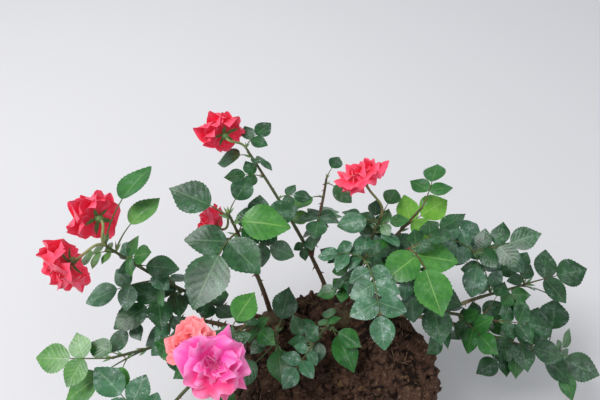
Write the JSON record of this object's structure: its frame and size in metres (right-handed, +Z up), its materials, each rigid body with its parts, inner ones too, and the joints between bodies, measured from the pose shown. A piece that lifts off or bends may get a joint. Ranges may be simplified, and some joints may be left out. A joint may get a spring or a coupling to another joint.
{
  "type": "rose bush",
  "caption": "Patio rose bush on its bare root ball, with thin canes, compound leaves and open red and pink blooms.",
  "frame": {"origin": "middle of the flat underside of the root ball, where the plant stands", "axes": "+Z up, +X along the widest spread of the branches, -Y towards the viewer"},
  "size_m": [0.5332, 0.3725, 0.321],
  "materials": {
    "soil": "damp dark brown crumbly soil with fine roots",
    "bark": "olive to brown rose bark, slightly glossy",
    "foliage": "dark green leaves with a dusty bloom, satin",
    "petals": "coral red to hot pink petals, velvety"
  },
  "bodies": {
    "root": {"root_ball": "soil", "left_knuckle": "bark", "main_knuckle": "bark", "front_knuckle": "bark", "upper_left_cane": "bark", "upper_left_shoot": "foliage", "left_pair_cane": "bark", "left_pair_shoot": "foliage", "centre_left_cane": "bark", "centre_left_shoot": "foliage", "centre_top_cane": "bark", "centre_top_shoot": "foliage", "back_centre_cane": "bark", "back_centre_shoot": "foliage", "front_left_pair_cane": "bark", "front_left_pair_shoot": "foliage", "lower_left_cane": "bark", "lower_left_shoot": "foliage", "front_left_cane": "bark", "front_left_shoot": "foliage", "left_inner_cane": "bark", "left_inner_shoot": "foliage", "back_twig_cane": "bark", "back_twig_shoot": "foliage", "back_right_young_cane": "bark", "back_right_young_shoot": "foliage", "centre_right_cane": "bark", "centre_right_shoot": "foliage", "right_back_cane": "bark", "right_back_shoot": "foliage", "right_far_cane": "bark", "right_far_shoot": "foliage", "right_middle_cane": "bark", "right_middle_shoot": "foliage", "right_low_cane": "bark", "right_low_shoot": "foliage", "soil_cover_cane": "bark", "soil_cover_shoot": "foliage", "soil_edge_cane": "bark", "soil_edge_shoot": "foliage", "front_right_cane": "bark", "front_right_shoot": "foliage", "front_middle_cane": "bark", "front_middle_shoot": "foliage", "front_side_cane": "bark", "front_side_shoot": "foliage"}
  },
  "joints": []
}
